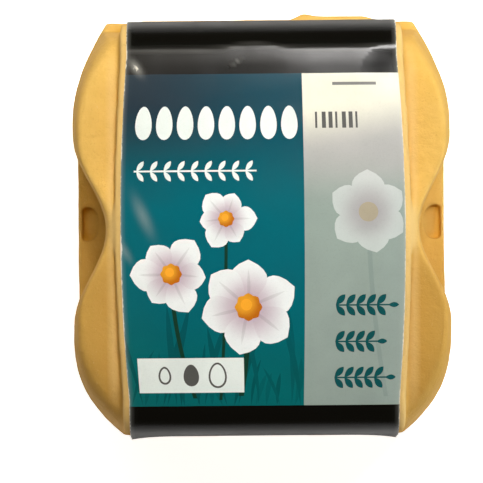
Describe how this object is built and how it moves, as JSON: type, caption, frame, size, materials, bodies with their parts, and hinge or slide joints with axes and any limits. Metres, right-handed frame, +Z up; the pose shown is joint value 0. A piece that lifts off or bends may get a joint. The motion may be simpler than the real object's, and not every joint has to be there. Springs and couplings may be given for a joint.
{
  "type": "egg carton",
  "caption": "Closed moulded-pulp egg carton: a lobed lid with a raised band and a folded paper label, on a cupped tray.",
  "frame": {"origin": "centre of the footprint, on the surface that the cups stand on", "axes": "+Z up, +Y to the hinge at the back, -Y to the lock tabs at the front, +X to the right seen from the front"},
  "size_m": [0.0946, 0.1058, 0.068],
  "materials": {
    "pulp": "matte moulded pulp, golden yellow",
    "label_paper": "glossy printed label"
  },
  "bodies": {
    "root": {"tray": "pulp", "lid": "pulp", "label": "label_paper"}
  },
  "joints": []
}
